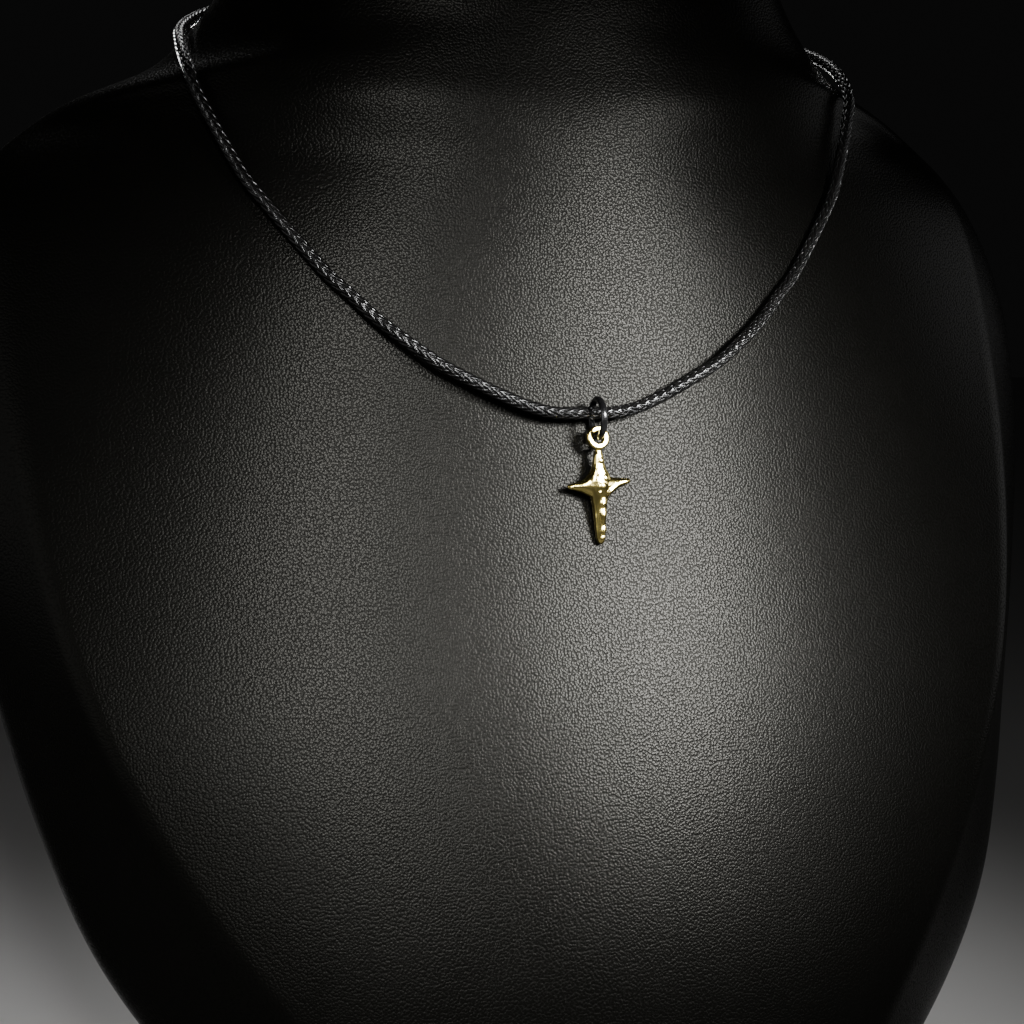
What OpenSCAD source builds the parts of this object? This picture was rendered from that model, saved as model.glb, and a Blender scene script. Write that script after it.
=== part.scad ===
// Cross necklace on a neck bust, in millimetres.
// The bust stands on its flat base and faces -Y. The origin is at the middle of its base.

/* [Bust] */
// Height of the bust, at the flat top of its neck
bust_h = 215; // [209:1:218]
// Rounding of the edge round the base
foot_round = 2; // [1:0.5:3]
// Rounding of the edge round the neck's flat top
top_round = 4; // [2:0.5:5]
// Height of a band of the skin
band_h = 6; // [5:1:10]
// Height of a band where the shoulders round over into the neck
shoulder_band_h = 2; // [1.5:0.5:4]
// Steps across each half of the face
face_steps = 10; // [8:1:12]
// Steps from the face's border to the widest line of the side wall
wall_steps = 4; // [3:1:5]
// Steps from the widest line to the middle of the back
back_steps = 9; // [8:1:12]

/* [Cord] */
// Thickness of the braided cord
cord_d = 2; // [1.6:0.1:2]
// Length of cord between two rings of the tube
cord_step = 5; // [5:0.5:8]

/* [Jump ring] */
// Outside width of the jump ring
ring_d = 7.1; // [7:0.1:7.2]
// Thickness of its wire
ring_wire = 1.1; // [0.9:0.05:1.1]
// Width of the fine cut where its two ends meet
ring_cut = 0.1; // [0.05:0.01:0.2]

/* [Cross pendant] */
// Outside width of the eye
eye_d = 3.8; // [3.7:0.05:3.8]
// Thickness of the eye's wire
eye_wire = 1; // [0.8:0.05:1]
// Drop from the eye's middle to the crossing of the arms
arms_drop = 7.35; // [7:0.05:7.6]
// How far the foot swings out over the slope of the chest, in degrees
pendant_lean = 5.7; // [5.7:0.1:8]

/* [Clasp] */
// Thickness of the barrel clasp
clasp_d = 4; // [3.6:0.1:4]
// Length of the barrel clasp
clasp_l = 14; // [12:0.5:14]
// Depth of the socket in each end of the barrel
socket_l = 4; // [3.5:0.5:5]
// Clear space all round the cord in its socket
socket_gap = 0.1; // [0.05:0.05:0.2]

/* [Hidden] */

cord_sides = 8;
limb_sides = 14;
// Clear space left where two pieces would rub on each other
rub_gap = 0.08;

// Middle of the jump ring, which hangs on the cord a little to the right of the middle line
ring_at = [1.2, -23.85, 124.3];
// Middle of the barrel clasp at the nape
clasp_at = [0, 52.2, 200.5];

// Heights between which the skin takes its narrow bands
shoulder_from = 150;
shoulder_to = 192;
// Flat back of the bust, and how much further in the neck's back stands
back_y = 52;
neck_inset = 2;

// Columns of SECTIONS
HEIGHT = 0;
HALF_WIDTH = 1; // half of the widest width
WIDEST_Y = 2; // where the widest line runs
HALF_FACE = 3; // half width of the face, from border to border
BORDER_Y = 4; // where the border of the face runs
FRONT_Y = 5; // front of the face on the middle line
FULLNESS = 6; // 2 is a parabola, more is a flatter face that turns late to its border
NECK = 7; // 0 is the chest with a crisp border and a boxy back, 1 is the round neck

SECTIONS = [
    [0,     42,    -31,  24,   -52.5, -54.7, 2.2,  0],
    [18,    63,    -23,  38.5, -45,   -50,   2.2,  0],
    [38,    78,    -15,  54.5, -37,   -45.5, 2.2,  0],
    [58,    86,    -6.5, 68,   -28.5, -39.5, 2.2,  0],
    [78,    91.5,  2,    78,   -20.5, -33,   2.2,  0],
    [98,    97,    9,    84,   -12,   -26.5, 2.2,  0],
    [118,   101.5, 15,   87,   -4,    -21.5, 2.2,  0],
    [138,   102,   19.5, 88.3, 4.5,   -17.5, 2.35, 0],
    [150,   99.5,  22,   88.4, 9.5,   -15.5, 2.3,  0],
    [160,   94.5,  23,   87,   13.5,  -14,   2.15, 0],
    [167,   88.5,  23,   84,   17,    -13.2, 2.1,  0.1],
    [172,   82.5,  23,   77.5, 18,    -12.5, 2.4,  0.35],
    [176,   76.5,  22.6, 69,   13,    -11.8, 2.65, 0.55],
    [178.5, 70.5,  22,   61,   6.5,   -11.3, 2.6,  0.7],
    [181,   64,    21,   52,   1,     -10.8, 2.45, 0.85],
    [184.5, 59.5,  19.5, 43,   -1.5,  -10.2, 2.4,  0.95],
    [188,   56.3,  18.3, 39.5, -1.7,  -9.7,  2.2,  1],
    [194,   51.8,  17,   36.3, -1.6,  -8.9,  2.2,  1],
    [200,   48.7,  16,   34,   -1.2,  -8,    2.2,  1],
    [208,   46.2,  15,   32.3, -0.5,  -7,    2.2,  1],
    [220,   45,    14.5, 31.5, 0.2,   -6,    2.2,  1],
];

// The cord's route on the right half, from just beside the jump ring to the socket of the
// clasp. The left half mirrors it.
HALF_ROUTE = [
    [9, -22.3, 126],
    [22, -20.5, 132],
    [28, -18.9, 136],
    [33, -16.8, 140],
    [37, -14.9, 144],
    [41, -12.9, 148],
    [49, -7.9, 158.5],
    [52.5, -4.7, 164],
    [57.4, 0.9, 175],
    [58.9, 3.8, 180],
    [59.1, 10, 184.8],
    [57.6, 18.5, 188.4],
    [52.6, 28.2, 192],
    [43.8, 37.4, 195.5],
    [31.5, 45, 198.5],
    [20, 49.2, 200],
    [13, 51.2, 200.4],
    [8, 52.2, 200.5],
    [4.2, 52.2, 200.5],
];
ROUTE_MIDDLE = [0, -22.8, 125.1];

// Columns of STEM: how far below the eye's middle, then half width and half thickness
STEM = [
    [1.4,   0.3,  0.3],
    [1.9,   0.42, 0.42],
    [2.3,   0.58, 0.55],
    [2.9,   0.72, 0.68],
    [3.5,   0.74, 0.7],
    [4.1,   0.68, 0.68],
    [4.7,   0.84, 0.8],
    [5.4,   1.1,  0.95],
    [6.3,   1.4,  1.1],
    [7.4,   1.6,  1.2],
    [8.6,   1.55, 1.15],
    [9.8,   1.35, 1.05],
    [11,    1.08, 0.95],
    [12.7,  0.92, 0.85],
    [14.4,  0.8,  0.75],
    [15.8,  0.68, 0.65],
    [16.5,  0.5,  0.48],
    [16.8,  0.25, 0.25],
];

// Columns of ARMS: how far right of the crossing, half height, half thickness, and how far
// the arm's middle line stands above the crossing
ARMS = [
    [-5.4,  0.18, 0.18, -0.16],
    [-5.2,  0.34, 0.32, -0.16],
    [-4.6,  0.48, 0.44, -0.14],
    [-3.8,  0.62, 0.56, -0.14],
    [-3,    0.88, 0.72, -0.12],
    [-2.3,  1.25, 0.86, -0.1],
    [-1.6,  1.85, 1,    -0.1],
    [-0.9,  2.6,  1.05, 0],
    [0,     2.9,  1.1,  0],
    [0.9,   2.5,  1.05, 0],
    [1.5,   1.8,  1,    -0.1],
    [2.1,   1.2,  0.86, 0],
    [2.8,   0.86, 0.7,  0.1],
    [3.6,   0.66, 0.56, 0.26],
    [4.4,   0.5,  0.44, 0.4],
    [5.1,   0.32, 0.32, 0.48],
    [5.3,   0.16, 0.16, 0.5],
];

ring_mean_r = (ring_d - ring_wire) / 2;
eye_mean_r = (eye_d - eye_wire) / 2;
// The eye hangs on the foot of the jump ring, a rub gap below its wire
eye_drop = ring_mean_r + eye_mean_r - ring_wire / 2 - eye_wire / 2 - rub_gap;

// Cubic curve from a to b, which leave and arrive with the slopes from_slope and to_slope
function cubic(a, b, from_slope, to_slope, t) =
    a * (2 * t ^ 3 - 3 * t ^ 2 + 1) + b * (3 * t ^ 2 - 2 * t ^ 3)
    + from_slope * (t ^ 3 - 2 * t ^ 2 + t) + to_slope * (t ^ 3 - t ^ 2);

function reversed(list) = [for (i = [len(list) - 1:-1:0]) list[i]];

// The section at height h, on smooth curves through the rows of SECTIONS
function row_below(h) = max([for (i = [0:len(SECTIONS) - 2]) if (SECTIONS[i][HEIGHT] <= h) i]);
function row_slope(i) =
    let (low = SECTIONS[max(i - 1, 0)], high = SECTIONS[min(i + 1, len(SECTIONS) - 1)])
    (high - low) / (high[HEIGHT] - low[HEIGHT]);
function section(h) =
    let (
        i = row_below(h),
        span = SECTIONS[i + 1][HEIGHT] - SECTIONS[i][HEIGHT]
    )
    cubic(SECTIONS[i], SECTIONS[i + 1], span * row_slope(i), span * row_slope(i + 1),
        (h - SECTIONS[i][HEIGHT]) / span);

// Three runs of points from the middle of the front round to the middle of the back: the
// crowned face, the side wall that leaves the border and turns back, and the rear half
function face_run(s) = [
    for (i = [0:face_steps])
        let (u = i / face_steps)
        [s[HALF_FACE] * u, s[FRONT_Y] + (s[BORDER_Y] - s[FRONT_Y]) * u ^ s[FULLNESS]]
];
function wall_run(s) =
    let (
        border = [s[HALF_FACE], s[BORDER_Y]],
        widest = [s[HALF_WIDTH], s[WIDEST_Y]],
        turn = 0.8 - 0.35 * s[NECK],
        corner = [s[HALF_WIDTH], s[BORDER_Y] + turn * (s[WIDEST_Y] - s[BORDER_Y])]
    )
    [for (i = [1:wall_steps])
        let (t = i / wall_steps)
        (1 - t) ^ 2 * border + 2 * t * (1 - t) * corner + t ^ 2 * widest];
function back_run(s) =
    let (
        boxiness = 7 - 4.8 * s[NECK],
        depth = back_y - neck_inset * s[NECK] - s[WIDEST_Y]
    )
    [for (i = [1:back_steps])
        let (turn = 90 * i / back_steps)
        [s[HALF_WIDTH] * abs(cos(turn)) ^ (2 / boxiness),
            s[WIDEST_Y] + depth * sin(turn) ^ (2 / boxiness)]];

// The whole outline at height h, drawn in by inset and set at height z
function outline(h, inset, z) =
    let (
        s = section(h),
        half = concat(face_run(s), wall_run(s), back_run(s)),
        last = len(half) - 1,
        ring = concat(half, [for (i = [last - 1:-1:1]) [-half[i].x, half[i].y]]),
        middle = [0, (s[FRONT_Y] + half[last].y) / 2],
        shrink = [1 - inset / s[HALF_WIDTH], 1 - inset / (half[last].y - middle.y)]
    )
    [for (p = ring) [p.x * shrink.x, middle.y + (p.y - middle.y) * shrink.y, z]];

// A closed skin over rings of points, which turn anticlockwise as seen from ahead of the path
module skin(rings) {
    sides = len(rings[0]);
    last = (len(rings) - 1) * sides;
    walls = [
        for (i = [0:len(rings) - 2], j = [0:sides - 1])
            let (a = i * sides + j, b = i * sides + (j + 1) % sides)
            each [[a, a + sides, b + sides], [a, b + sides, b]]
    ];
    polyhedron([for (ring = rings) each ring],
        concat([[for (j = [0:sides - 1]) j]], walls, [[for (j = [sides - 1:-1:0]) last + j]]),
        convexity = 6);
}

// Levels of the skin between two heights, at most gap apart, without the upper one
function levels(from, to, gap) =
    let (bands = ceil((to - from) / gap))
    [for (i = [0:bands - 1]) from + (to - from) * i / bands];

module bust_form() {
    foot = [for (turn = [0, 45]) outline(foot_round, foot_round * (1 - sin(turn)),
        foot_round * (1 - cos(turn)))];
    body = [
        for (h = concat(levels(foot_round, shoulder_from, band_h),
            levels(shoulder_from, shoulder_to, shoulder_band_h),
            levels(shoulder_to, bust_h - top_round, band_h)))
            outline(h, 0, h)
    ];
    top = [for (turn = [0:30:90]) outline(bust_h - top_round, top_round * (1 - cos(turn)),
        bust_h - top_round * (1 - sin(turn)))];
    color("#26262a") skin(concat(foot, body, top));
}

// Points along the cord, a cord_step or less apart, on smooth curves through the route
function cord_path() =
    let (
        left = [for (p = reversed(HALF_ROUTE)) [-p.x, p.y, p.z]],
        route = concat(left, [ROUTE_MIDDLE], HALF_ROUTE),
        last = len(route) - 1,
        slope = [for (i = [0:last]) (route[min(i + 1, last)] - route[max(i - 1, 0)]) / 2]
    )
    concat(
        [for (i = [0:last - 1])
            let (steps = max(1, round(norm(route[i + 1] - route[i]) / cord_step)))
            for (j = [0:steps - 1])
                cubic(route[i], route[i + 1], slope[i], slope[i + 1], j / steps)],
        [route[last]]);

// A ring of the cord's tube round the point p, square to the direction ahead
function cord_ring(p, ahead) =
    let (
        forward = ahead / norm(ahead),
        side = cross([0, 0, 1], forward) / norm(cross([0, 0, 1], forward)),
        up = cross(forward, side)
    )
    [for (i = [0:cord_sides - 1])
        let (turn = 360 * i / cord_sides)
        p + cord_d / 2 * (cos(turn) * side + sin(turn) * up)];

module cord() {
    path = cord_path();
    last = len(path) - 1;
    color("#141414")
        skin([for (i = [0:last]) cord_ring(path[i], path[min(i + 1, last)] - path[max(i - 1, 0)])]);
}

// A plain barrel with rounded ends, drilled from each end for the cord
module clasp() {
    end_round = 0.8;
    color("#202024")
        translate(clasp_at) rotate([0, 90, 0]) difference() {
            rotate_extrude($fn = 48) {
                translate([0, -clasp_l / 2]) square([clasp_d / 2 - end_round, clasp_l]);
                translate([0, end_round - clasp_l / 2])
                    square([clasp_d / 2, clasp_l - 2 * end_round]);
                for (side = [-1, 1])
                    translate([clasp_d / 2 - end_round, side * (clasp_l / 2 - end_round)])
                        circle(r = end_round, $fn = 32);
            }
            for (side = [-1, 1])
                translate([0, 0, side * (clasp_l / 2 - socket_l / 2 + 0.5)])
                    cylinder(h = socket_l + 1, r = cord_d / 2 + socket_gap, center = true, $fn = 48);
        }
}

// Round wire bent to a ring, with the fine cut at its back
module jump_ring() {
    cut_angle = ring_cut / ring_mean_r * 180 / PI;
    color("#101012")
        translate(ring_at) rotate([0, 90, 0]) rotate([0, 0, 90 + cut_angle / 2])
            rotate_extrude(angle = 360 - cut_angle, $fn = 96)
                translate([ring_mean_r, 0]) circle(d = ring_wire, $fn = 48);
}

// Rings of a limb of the casting. Each row gives its place along the limb, its half width,
// its half thickness and the rise of its middle line.
function limb_ring(along, half_w, half_t, rise) = [
    for (i = [0:limb_sides - 1])
        let (turn = 360 * i / limb_sides)
        [half_w * cos(turn) + rise, half_t * sin(turn), along]
];

// The casting: a stem and crossed arms that flare into each other, with the eye on top
module cross_pendant() {
    stem = [for (s = STEM) limb_ring(s[0], s[1], s[2], 0)];
    arms = [for (a = ARMS) limb_ring(a[0], a[1], a[2], -a[3])];
    color("#d9bf6a")
        translate(ring_at - [0, 0, eye_drop]) rotate([-pendant_lean, 0, 0]) {
            rotate([90, 0, 0]) rotate_extrude($fn = 64)
                translate([eye_mean_r, 0]) circle(d = eye_wire, $fn = 32);
            rotate([180, 0, 0]) skin(stem);
            translate([0, 0, -arms_drop]) rotate([0, 90, 0]) skin(arms);
        }
}

bust_form();
cord();
clasp();
jump_ring();
cross_pendant();
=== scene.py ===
"""Looks of a cross necklace on a plain neck bust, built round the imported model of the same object.

Lengths are in metres unless a name or a docstring says millimetres. Every place is in the
model's own frame: the bust stands on z = 0, its chest faces -Y and +X is to the right of the
picture.
"""

from __future__ import annotations

import logging
import math
from collections.abc import Callable, Iterable, Sequence
from dataclasses import dataclass
from enum import Enum
from typing import Any

import bmesh
import bpy
import numpy as np
from mathutils import Matrix, Vector, noise

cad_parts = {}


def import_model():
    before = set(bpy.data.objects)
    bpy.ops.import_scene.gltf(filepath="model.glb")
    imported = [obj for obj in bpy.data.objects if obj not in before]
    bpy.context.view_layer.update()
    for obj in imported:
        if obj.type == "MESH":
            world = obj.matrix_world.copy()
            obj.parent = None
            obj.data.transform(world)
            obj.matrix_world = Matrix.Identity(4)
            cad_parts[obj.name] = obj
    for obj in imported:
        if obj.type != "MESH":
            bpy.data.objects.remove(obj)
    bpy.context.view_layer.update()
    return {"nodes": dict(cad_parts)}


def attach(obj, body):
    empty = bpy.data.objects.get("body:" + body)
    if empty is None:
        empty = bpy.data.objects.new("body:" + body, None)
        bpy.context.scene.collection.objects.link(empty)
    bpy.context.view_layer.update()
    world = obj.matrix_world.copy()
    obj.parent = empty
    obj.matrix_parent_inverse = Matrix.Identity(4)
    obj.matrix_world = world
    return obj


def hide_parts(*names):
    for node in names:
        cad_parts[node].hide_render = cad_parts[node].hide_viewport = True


log = logging.getLogger("necklace")

MM = 0.001
BODY = "root"
CHEST = (0.0, 0.0, 0.13)
MICRON = 1e-6
TOUCHING = 1e-7

Colour = tuple[float, float, float]
Place = tuple[float, float, float]
Skin = tuple[list[Vector], list[tuple[int, ...]]]


class Slot(Enum):
    """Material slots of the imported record."""

    LEATHERETTE = "leatherette"
    CORD = "waxed_cord"
    PLATING = "black_metal"
    GOLD = "gold"


# Node trees


class Signal:
    """A node's output socket, whose arithmetic adds Math nodes to its tree."""

    def __init__(self, graph: Graph, socket: bpy.types.NodeSocket) -> None:
        """Wraps one socket of the graph's tree."""
        self.graph = graph
        self.socket = socket

    def out(self, name: str) -> Signal:
        """Another output of the same node."""
        return Signal(self.graph, self.socket.node.outputs[name])

    def math(self, operation: str, *others: Signal | float) -> Signal:
        """A Math node on this value and others.

        Args:
            operation: Blender's name of the operation.
            others: The node's second and third inputs, where it has them.

        Returns:
            The node's result.
        """
        values = dict(enumerate((self, *others)))
        return self.graph.add("ShaderNodeMath", {"operation": operation}, values)

    def __add__(self, other: Signal | float) -> Signal:
        """Sum."""
        return self.math("ADD", other)

    def __sub__(self, other: Signal | float) -> Signal:
        """Difference."""
        return self.math("SUBTRACT", other)

    def __rsub__(self, other: float) -> Signal:
        """Difference from a number."""
        return self.graph.add("ShaderNodeMath", {"operation": "SUBTRACT"}, {0: other, 1: self})

    def __mul__(self, other: Signal | float) -> Signal:
        """Product."""
        return self.math("MULTIPLY", other)

    def __truediv__(self, other: Signal | float) -> Signal:
        """Quotient."""
        return self.math("DIVIDE", other)

    def __pow__(self, power: float) -> Signal:
        """Power."""
        return self.math("POWER", power)

    def __mod__(self, other: float) -> Signal:
        """Remainder."""
        return self.math("MODULO", other)

    __radd__ = __add__
    __rmul__ = __mul__

    def clamped(self) -> Signal:
        """The value kept between 0 and 1."""
        return self.math("MAXIMUM", 0.0).math("MINIMUM", 1.0)

    def step(self, low: float, high: float) -> Signal:
        """0 below low and 1 above high, with a soft rise between them.

        Args:
            low: Where the rise starts.
            high: Where it ends.

        Returns:
            The value from 0 to 1.
        """
        settings = {"interpolation_type": "SMOOTHSTEP"}
        places = {"Value": self, "From Min": low, "From Max": high}
        return self.graph.add("ShaderNodeMapRange", settings, places)


class Graph:
    """A node tree that is filled from Python expressions."""

    def __init__(self, tree: bpy.types.NodeTree) -> None:
        """Starts on a tree."""
        self.tree = tree

    def feed(self, socket: bpy.types.NodeSocket, value: Any) -> None:
        """Sets an input socket's value, or links it.

        Args:
            socket: The input.
            value: A number, a tuple, a data block or a Signal.
        """
        if isinstance(value, Signal):
            self.tree.links.new(value.socket, socket)
        else:
            socket.default_value = value

    def add(
        self,
        kind: str,
        settings: dict[str, Any] | None = None,
        places: dict[str | int, Any] | None = None,
        output: str | int = 0,
    ) -> Signal:
        """Adds a node.

        Args:
            kind: The node's type.
            settings: Its properties, set first.
            places: Its input sockets by name or number, with a value or a Signal each.
            output: The output socket to hand back.

        Returns:
            That output.
        """
        node = self.tree.nodes.new(kind)
        for name, value in (settings or {}).items():
            setattr(node, name, value)
        for key, value in (places or {}).items():
            self.feed(node.inputs[key], value)
        return Signal(self, node.outputs[output])

    def vector(self, operation: str, first: Signal, second: Signal | tuple) -> Signal:
        """A Vector Math node.

        Args:
            operation: Blender's name of the operation.
            first: Its first vector.
            second: Its second vector.

        Returns:
            The resulting vector.
        """
        return self.add("ShaderNodeVectorMath", {"operation": operation}, {0: first, 1: second})

    def scaled(self, vector: Signal, factor: Signal) -> Signal:
        """A vector times a number."""
        places = {"Vector": vector, "Scale": factor}
        return self.add("ShaderNodeVectorMath", {"operation": "SCALE"}, places)

    def captured(self, shape: Signal, values: dict[str, tuple[str, Signal]]) -> Signal:
        """A shape that keeps values on its points.

        Args:
            shape: The geometry.
            values: The kind and the Signal of each value, by its name.

        Returns:
            The geometry, whose other outputs are the kept values.
        """
        kept = self.add("GeometryNodeCaptureAttribute", {"domain": "POINT"}, {"Geometry": shape})
        node = kept.socket.node
        for name, (kind, _) in values.items():
            node.capture_items.new(kind, name)
        for name, (_, value) in values.items():
            self.feed(node.inputs[name], value)
        return kept


class Paint(Graph):
    """A material with one principled shader."""

    SIDE_SHARPNESS = 8

    def __init__(self, name: str) -> None:
        """Starts a plain material.

        Args:
            name: The material's name.
        """
        self.material = bpy.data.materials.new(name)
        self.material.use_nodes = True
        super().__init__(self.material.node_tree)
        self.shader = self.tree.nodes["Principled BSDF"]
        self.place = self.add("ShaderNodeTexCoord", output="Object")

    def set(self, **places: Any) -> None:
        """Feeds the shader's sockets.

        Args:
            places: Values or Signals, by the socket's name with underscores for its spaces.
        """
        for name, value in places.items():
            self.feed(self.shader.inputs[name.replace("_", " ")], value)

    def noise(self, size: float, detail: float) -> Signal:
        """Soft noise from 0 to 1.

        Args:
            size: Width of its blotches.
            detail: How many finer layers it has.

        Returns:
            The noise.
        """
        places = {"Vector": self.place, "Scale": 1 / size, "Detail": detail}
        return self.add("ShaderNodeTexNoise", places=places)

    def cells(self, size: float, where: Signal) -> Signal:
        """Distance from the middle of the nearest cell in a flat pattern of cells.

        Args:
            size: Width of a cell.
            where: Coordinates to read, of which the first two count.

        Returns:
            The distance, where 1 is a cell's width.
        """
        settings = {"voronoi_dimensions": "2D", "feature": "F1"}
        places = {"Vector": where, "Scale": 1 / size}
        return self.add("ShaderNodeTexVoronoi", settings, places, "Distance")

    def laid(self, pattern: Callable[[Signal], Signal], where: Signal) -> Signal:
        """A flat pattern laid on the piece from its sides, its front and its top.

        Args:
            pattern: Makes the pattern from flat coordinates.
            where: The piece's coordinates.

        Returns:
            The pattern, blended where the surface turns from one side to the next.
        """
        spot = self.add("ShaderNodeSeparateXYZ", places={"Vector": where}, output="X")
        normal = self.add("ShaderNodeNewGeometry", output="Normal")
        facing = self.add("ShaderNodeSeparateXYZ", places={"Vector": normal}, output="X")
        x, y, z = (spot.out(axis) for axis in "XYZ")
        shares = [facing.out(a).math("ABSOLUTE") ** self.SIDE_SHARPNESS for a in "XYZ"]
        flat = []
        for across, along in ((y, z), (x, z), (x, y)):
            spread = self.add("ShaderNodeCombineXYZ", places={"X": across, "Y": along})
            flat.append(pattern(spread))
        whole = shares[0] + shares[1] + shares[2]
        return (flat[0] * shares[0] + flat[1] * shares[1] + flat[2] * shares[2]) / whole

    def warped(self, size: float, reach: float) -> Signal:
        """The object's coordinates pushed about by noise.

        Args:
            size: Width of the noise's blotches.
            reach: How far a place is pushed at most.

        Returns:
            The pushed coordinates.
        """
        colour = self.add(
            "ShaderNodeTexNoise", places={"Vector": self.place, "Scale": 1 / size}, output="Color"
        )
        middle = self.vector("SUBTRACT", colour, (0.5, 0.5, 0.5))
        push = self.vector("MULTIPLY", middle, (2 * reach,) * 3)
        return self.vector("ADD", self.place, push)

    def blend(self, share: Signal, low: Colour, high: Colour) -> Signal:
        """A colour between two others.

        Args:
            share: 0 for low and 1 for high.
            low: RGB colour.
            high: RGB colour.

        Returns:
            The mixed colour.
        """
        places = {"Factor": share, 6: (*low, 1.0), 7: (*high, 1.0)}
        return self.add("ShaderNodeMix", {"data_type": "RGBA"}, places, 2)

    def relief(self, height: Signal, depth: float) -> Signal:
        """A bump.

        Args:
            height: Height from 0 to 1.
            depth: Real height of 1.

        Returns:
            The bumped normal.
        """
        places = {"Height": height, "Distance": depth, "Strength": 1.0}
        return self.add("ShaderNodeBump", places=places)


# Finishes


@dataclass(frozen=True)
class Leatherette:
    """Satin black coated cloth with a fine pebbled grain.

    pebble is the width of a pebble and depth its height. pebble_edge is where a pebble ends,
    in its widths from its middle. The pebbles wander off a regular pattern by a share of
    their width, in waves a few pebbles long, and soft patches vary the tone and the gloss.
    The low creases between the pebbles get a darker colour, which is painted shade.
    """

    black: Colour = (0.003, 0.0029, 0.0025)
    # painted shade: the darker colour of the low creases between the pebbles
    painted_crease_shade: Colour = (0.0014, 0.0014, 0.0012)
    pebble: float = 0.41 * MM
    depth: float = 0.026 * MM
    pebble_edge: float = 0.72
    wander: float = 0.2
    wander_waves: float = 2.2
    patch: float = 9 * MM
    patch_share: float = 0.3
    patch_gloss: float = 0.06
    roughness: tuple[float, float] = (0.22, 0.38)
    shine: float = 0.049
    shine_tint: Colour = (1.0, 0.98, 0.9)

    def material(self) -> bpy.types.Material:
        """The finished material.

        Returns:
            The material.
        """
        paint = Paint("Pebbled leatherette")
        where = paint.warped(self.wander_waves * self.pebble, self.wander * self.pebble)
        middle = paint.laid(lambda flat: paint.cells(self.pebble, flat), where)
        dome = 1 - (middle / self.pebble_edge).clamped() ** 2
        swell = paint.noise(self.patch, detail=3.0)
        # painted shade: the pebbles' low creases take the darker colour, mixed with random soft
        # patches of tone
        tone = (dome * (1 - self.patch_share) + swell * self.patch_share).clamped()
        low, high = self.roughness
        paint.set(
            Base_Color=paint.blend(tone, self.painted_crease_shade, self.black),
            Roughness=high - dome * (high - low) + (swell - 0.5) * self.patch_gloss,
            Specular_IOR_Level=self.shine,
            Specular_Tint=(*self.shine_tint, 1.0),
            Normal=paint.relief(dome, self.depth),
        )
        return paint.material


@dataclass(frozen=True)
class WaxedCord:
    """Black polyester yarn under glossy wax, which lies on it in smears.

    fibres is the number of fibres across a yarn, which waves in the wax push aside. The
    heights of fibres and waves are in parts of depth.
    """

    yarn: Colour = (0.003, 0.0029, 0.0028)
    wax: Colour = (0.005, 0.0048, 0.0046)
    fibres: float = 9.0
    fibre_push: float = 5.0
    fibre_height: float = 0.3
    wave: float = 0.5 * MM
    wave_height: float = 1.4
    depth: float = 0.012 * MM
    smear: float = 2.5 * MM
    smear_edge: tuple[float, float] = (0.35, 0.62)
    roughness: float = 0.17
    wax_smooths: float = 0.05
    waves_roughen: float = 0.06
    shine: float = 0.24
    coat_weight: float = 0.3
    coat_roughness: float = 0.1

    def material(self) -> bpy.types.Material:
        """The finished material.

        Returns:
            The material.
        """
        paint = Paint("Waxed braid")
        flow = paint.add("ShaderNodeUVMap", {"uv_map": Braid.UV_NAME})
        across = paint.add("ShaderNodeSeparateXYZ", places={"Vector": flow}, output="Y")
        waves = paint.noise(self.wave, detail=2.0)
        bent = across * (2 * math.pi * self.fibres) + waves * self.fibre_push
        lines = bent.math("SINE")
        coat = paint.noise(self.smear, detail=3.0).step(*self.smear_edge)
        paint.set(
            Base_Color=paint.blend(coat, self.yarn, self.wax),
            Roughness=self.roughness - coat * self.wax_smooths + waves * self.waves_roughen,
            Specular_IOR_Level=self.shine,
            Coat_Weight=coat * self.coat_weight,
            Coat_Roughness=self.coat_roughness,
            Normal=paint.relief(
                lines * self.fibre_height + waves * self.wave_height, self.depth
            ),
        )
        return paint.material


@dataclass(frozen=True)
class BlackPlating:
    """Polished black plating over brass, a little rubbed where its clouds are densest."""

    black: Colour = (0.004, 0.004, 0.0042)
    rubbed: Colour = (0.02, 0.019, 0.018)
    cloud: float = 0.9 * MM
    rub_edge: tuple[float, float] = (0.55, 0.75)
    metallic: float = 0.1
    roughness: float = 0.17
    cloud_roughens: float = 0.06
    rub_roughens: float = 0.1
    shine: float = 0.8
    coat_roughness: float = 0.08
    ripple: float = 0.35 * MM
    ripple_depth: float = 0.003 * MM

    def material(self) -> bpy.types.Material:
        """The finished material.

        Returns:
            The material.
        """
        paint = Paint("Polished black plating")
        cloud = paint.noise(self.cloud, detail=4.0)
        rub = cloud.step(*self.rub_edge)
        paint.set(
            Base_Color=paint.blend(rub, self.black, self.rubbed),
            Metallic=self.metallic,
            Roughness=self.roughness + cloud * self.cloud_roughens + rub * self.rub_roughens,
            Specular_IOR_Level=self.shine,
            Coat_Weight=1.0,
            Coat_Roughness=self.coat_roughness,
            Normal=paint.relief(paint.noise(self.ripple, detail=2.0), self.ripple_depth),
        )
        return paint.material


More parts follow.
